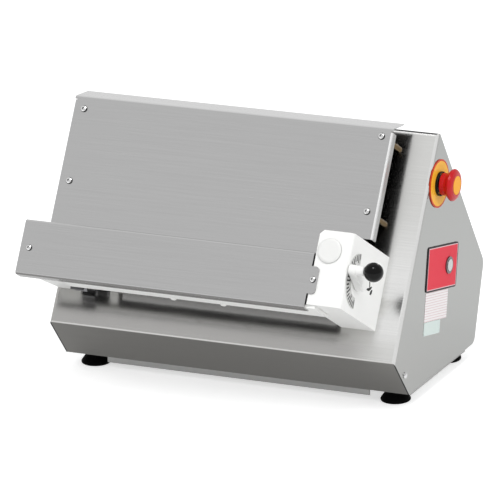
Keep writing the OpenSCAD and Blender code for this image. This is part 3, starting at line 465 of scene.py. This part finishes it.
for step in range(-92, 86, 9):
    turn = math.radians(step)
    along, aside = Vector((math.cos(turn), math.sin(turn))), Vector((-math.sin(turn), math.cos(turn)))
    middle = Vector((lever_n, lever_s))
    start = long_start if step % 27 == 16 else stroke_start
    printed(dial_x, [middle + along * r + aside * w for r, w in
                     ((start, -stroke_half), (stroke_end, -stroke_half),
                      (stroke_end, stroke_half), (start, stroke_half))])
for number, step in enumerate(range(-62, 84, 27)):
    turn = math.radians(step)
    letter = bpy.data.curves.new("numeral", "FONT")
    letter.body, letter.size = str(number), number_size
    letter.align_x, letter.align_y = "CENTER", "CENTER"
    shape = bpy.data.objects.new("numeral", letter)
    bpy.context.scene.collection.objects.link(shape)
    flat_shape = shape.evaluated_get(bpy.context.evaluated_depsgraph_get()).to_mesh()
    for face in flat_shape.polygons:
        corners = []
        for index in face.vertices:
            x, y = flat_shape.vertices[index].co[:2]
            r, w = number_r + 1000 * y, 1000 * x
            corners.append((lever_n + r * math.cos(turn) - w * math.sin(turn),
                            lever_s + r * math.sin(turn) + w * math.cos(turn)))
        printed(dial_x, corners)
    shape.to_mesh_clear()
    bpy.data.objects.remove(shape)
arrow_shapes = (
    ((47.4, 87.7), (44.3, 88.4), (41.5, 81.8), (43.5, 80.6)),
    ((54.1, 77.7), (49.3, 76.4), (43.3, 76.9), (44.0, 80.7)),
    ((43.3, 76.9), (38.2, 80.4), (35.3, 83.9), (38.1, 83.9), (44.0, 80.7)),
    ((37.1, 79.6), (33.1, 81.1), (32.9, 76.9), (35.3, 73.6), (39.5, 73.8), (38.6, 77.3)))
for corners in arrow_shapes:
    printed(block_x, corners)
bm.to_mesh(print_mesh)
bm.free()
dial_print = bpy.data.objects.new("dial_print", print_mesh)
bpy.context.scene.collection.objects.link(dial_print)
print_ink = moulded("print_ink", tone(22, 22, 22), 0.5, 0.1, 900, 0.02, 0.2)
print_mesh.materials.append(print_ink)
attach(dial_print, "frame")

# Gap lever. Milled white plastic on a steel spindle,
# with a black ball knob on a stud.
lever_white = moulded("lever_plastic", tone(238, 238, 236), 0.4, 0.008, 500, 0.04, 0.35)
dress("gap_lever", lever_white, 0.0012)
knob_black = moulded("knob_black", tone(3, 3, 3), 0.1, 0.1, 260, 0.01, 0.18)
dress("clamp_knob", knob_black)

# Stop button. A red mushroom on a black collar, with a yellow cap, over a yellow disc
# with a red rim.
stop_yellow = moulded("stop_yellow", tone(246, 172, 24), 0.42, 0.012, 500, 0.03, 0.2)
stop_red = moulded("stop_red", tone(188, 14, 24), 0.3, 0.015, 500, 0.02, 0.3)
black_plastic = moulded("black_plastic", tone(12, 12, 12), 0.45, 0.1, 700, 0.06, 0.2)
disc_yellow = moulded("disc_yellow", tone(252, 192, 56), 0.42, 0.012, 500, 0.03, 0.2)
low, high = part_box("stop_disc")
disc_middle = (low + high) / 2
tree = disc_yellow.node_tree
across_y = calc(tree, "SUBTRACT", reach(disc_yellow, (0, 1, 0)), disc_middle.y)
across_z = calc(tree, "SUBTRACT", reach(disc_yellow, (0, 0, 1)), disc_middle.z)
squared = calc(tree, "MULTIPLY_ADD", across_y, across_y, calc(tree, "MULTIPLY", across_z, across_z))
from_axis = calc(tree, "SQRT", squared)
patch(disc_yellow, rise(disc_yellow, from_axis, 0.0275, 0.0282), tone(206, 70, 36))
dress("stop_disc", disc_yellow)
dress("stop_collar", black_plastic, 0.0004)
dress("stop_barrel", black_plastic)
dress("stop_plunger", black_plastic)
dress("stop_head", stop_red)
dress("stop_cap", stop_yellow)

# Start switch. A red plate with a dark rim and a thin white line inside it, and a turned
# push button in a silver bezel.
switch_red = moulded("switch_red", tone(228, 70, 84), 0.5, 0.012, 400, 0.02, 0.06)
tree = switch_red.node_tree
slant = math.radians(12.2)
plate_along = Vector((0, math.cos(slant), -math.sin(slant)))
plate_up = Vector((0, math.sin(slant), math.cos(slant)))
plate_middle = Vector((0, 0.1519 + fold_place.y, 0.1489))
half_length, half_height = 0.048, 0.028
off_along = calc(tree, "SUBTRACT", reach(switch_red, plate_along), plate_along.dot(plate_middle))
off_up = calc(tree, "SUBTRACT", reach(switch_red, plate_up), plate_up.dot(plate_middle))
from_end = calc(tree, "SUBTRACT", half_length, calc(tree, "ABSOLUTE", off_along))
from_top = calc(tree, "SUBTRACT", half_height, calc(tree, "ABSOLUTE", off_up))
inside = calc(tree, "MINIMUM", from_end, from_top)
patch(switch_red, rise(switch_red, inside, 0.0030, 0.0026), tone(232, 200, 204))
patch(switch_red, rise(switch_red, inside, 0.0020, 0.0016), tone(62, 58, 60))
dress("switch_plate", switch_red)
silver = brushed("button_silver", tone(184, 184, 184), (900, 900, 900), 0.24, 0.14, 0.04)
dress("start_button", silver)
bezel_steel = brushed("bezel_steel", tone(104, 102, 104), (900, 900, 900), 0.3, 0.14, 0.04)
dress("start_bezel", bezel_steel)

# Labels. White film stuck to the right side,
# faintly ruled above, tinted below and otherwise blank.
label_film = moulded("label_film", tone(244, 240, 240), 0.5, 0.008, 200, 0.01, 0.1)
tree = label_film.node_tree
rule_pitch, label_split = 0.0032, plate_up.dot(plate_middle) - 0.0652
row = calc(tree, "FRACT", calc(tree, "MULTIPLY", reach(label_film, plate_up), 1 / rule_pitch))
patch(label_film, calc(tree, "MULTIPLY", rise(label_film, row, 0.62, 0.7), 0.5), tone(206, 170, 174))
lower_label = rise(label_film, reach(label_film, plate_up), label_split + 0.0004, label_split - 0.0004)
patch(label_film, lower_label, tone(218, 230, 226))
dress("label_plates", label_film)

# Drive inside the cabinet. A gear motor on a bracket, a belt up to the rear roller,
# a plastic control box, and the cable gland at the back.
motor_grey = moulded("motor_grey", tone(120, 124, 128), 0.5, 0.03, 600, 0.2)
dress("gearmotor", motor_grey)
dress("gearbox", motor_grey, 0.001)
dress("motor_bracket", pan_steel)
belt_black = moulded("belt_black", tone(14, 14, 14), 0.6, 0.06, 700, 0.1, 0.2)
dress("drive_belt", belt_black)
box_grey = moulded("box_grey", tone(170, 170, 170), 0.45, 0.015, 500, 0.05)
dress("control_box", box_grey)
dress("cable_gland", black_plastic, 0.0004)
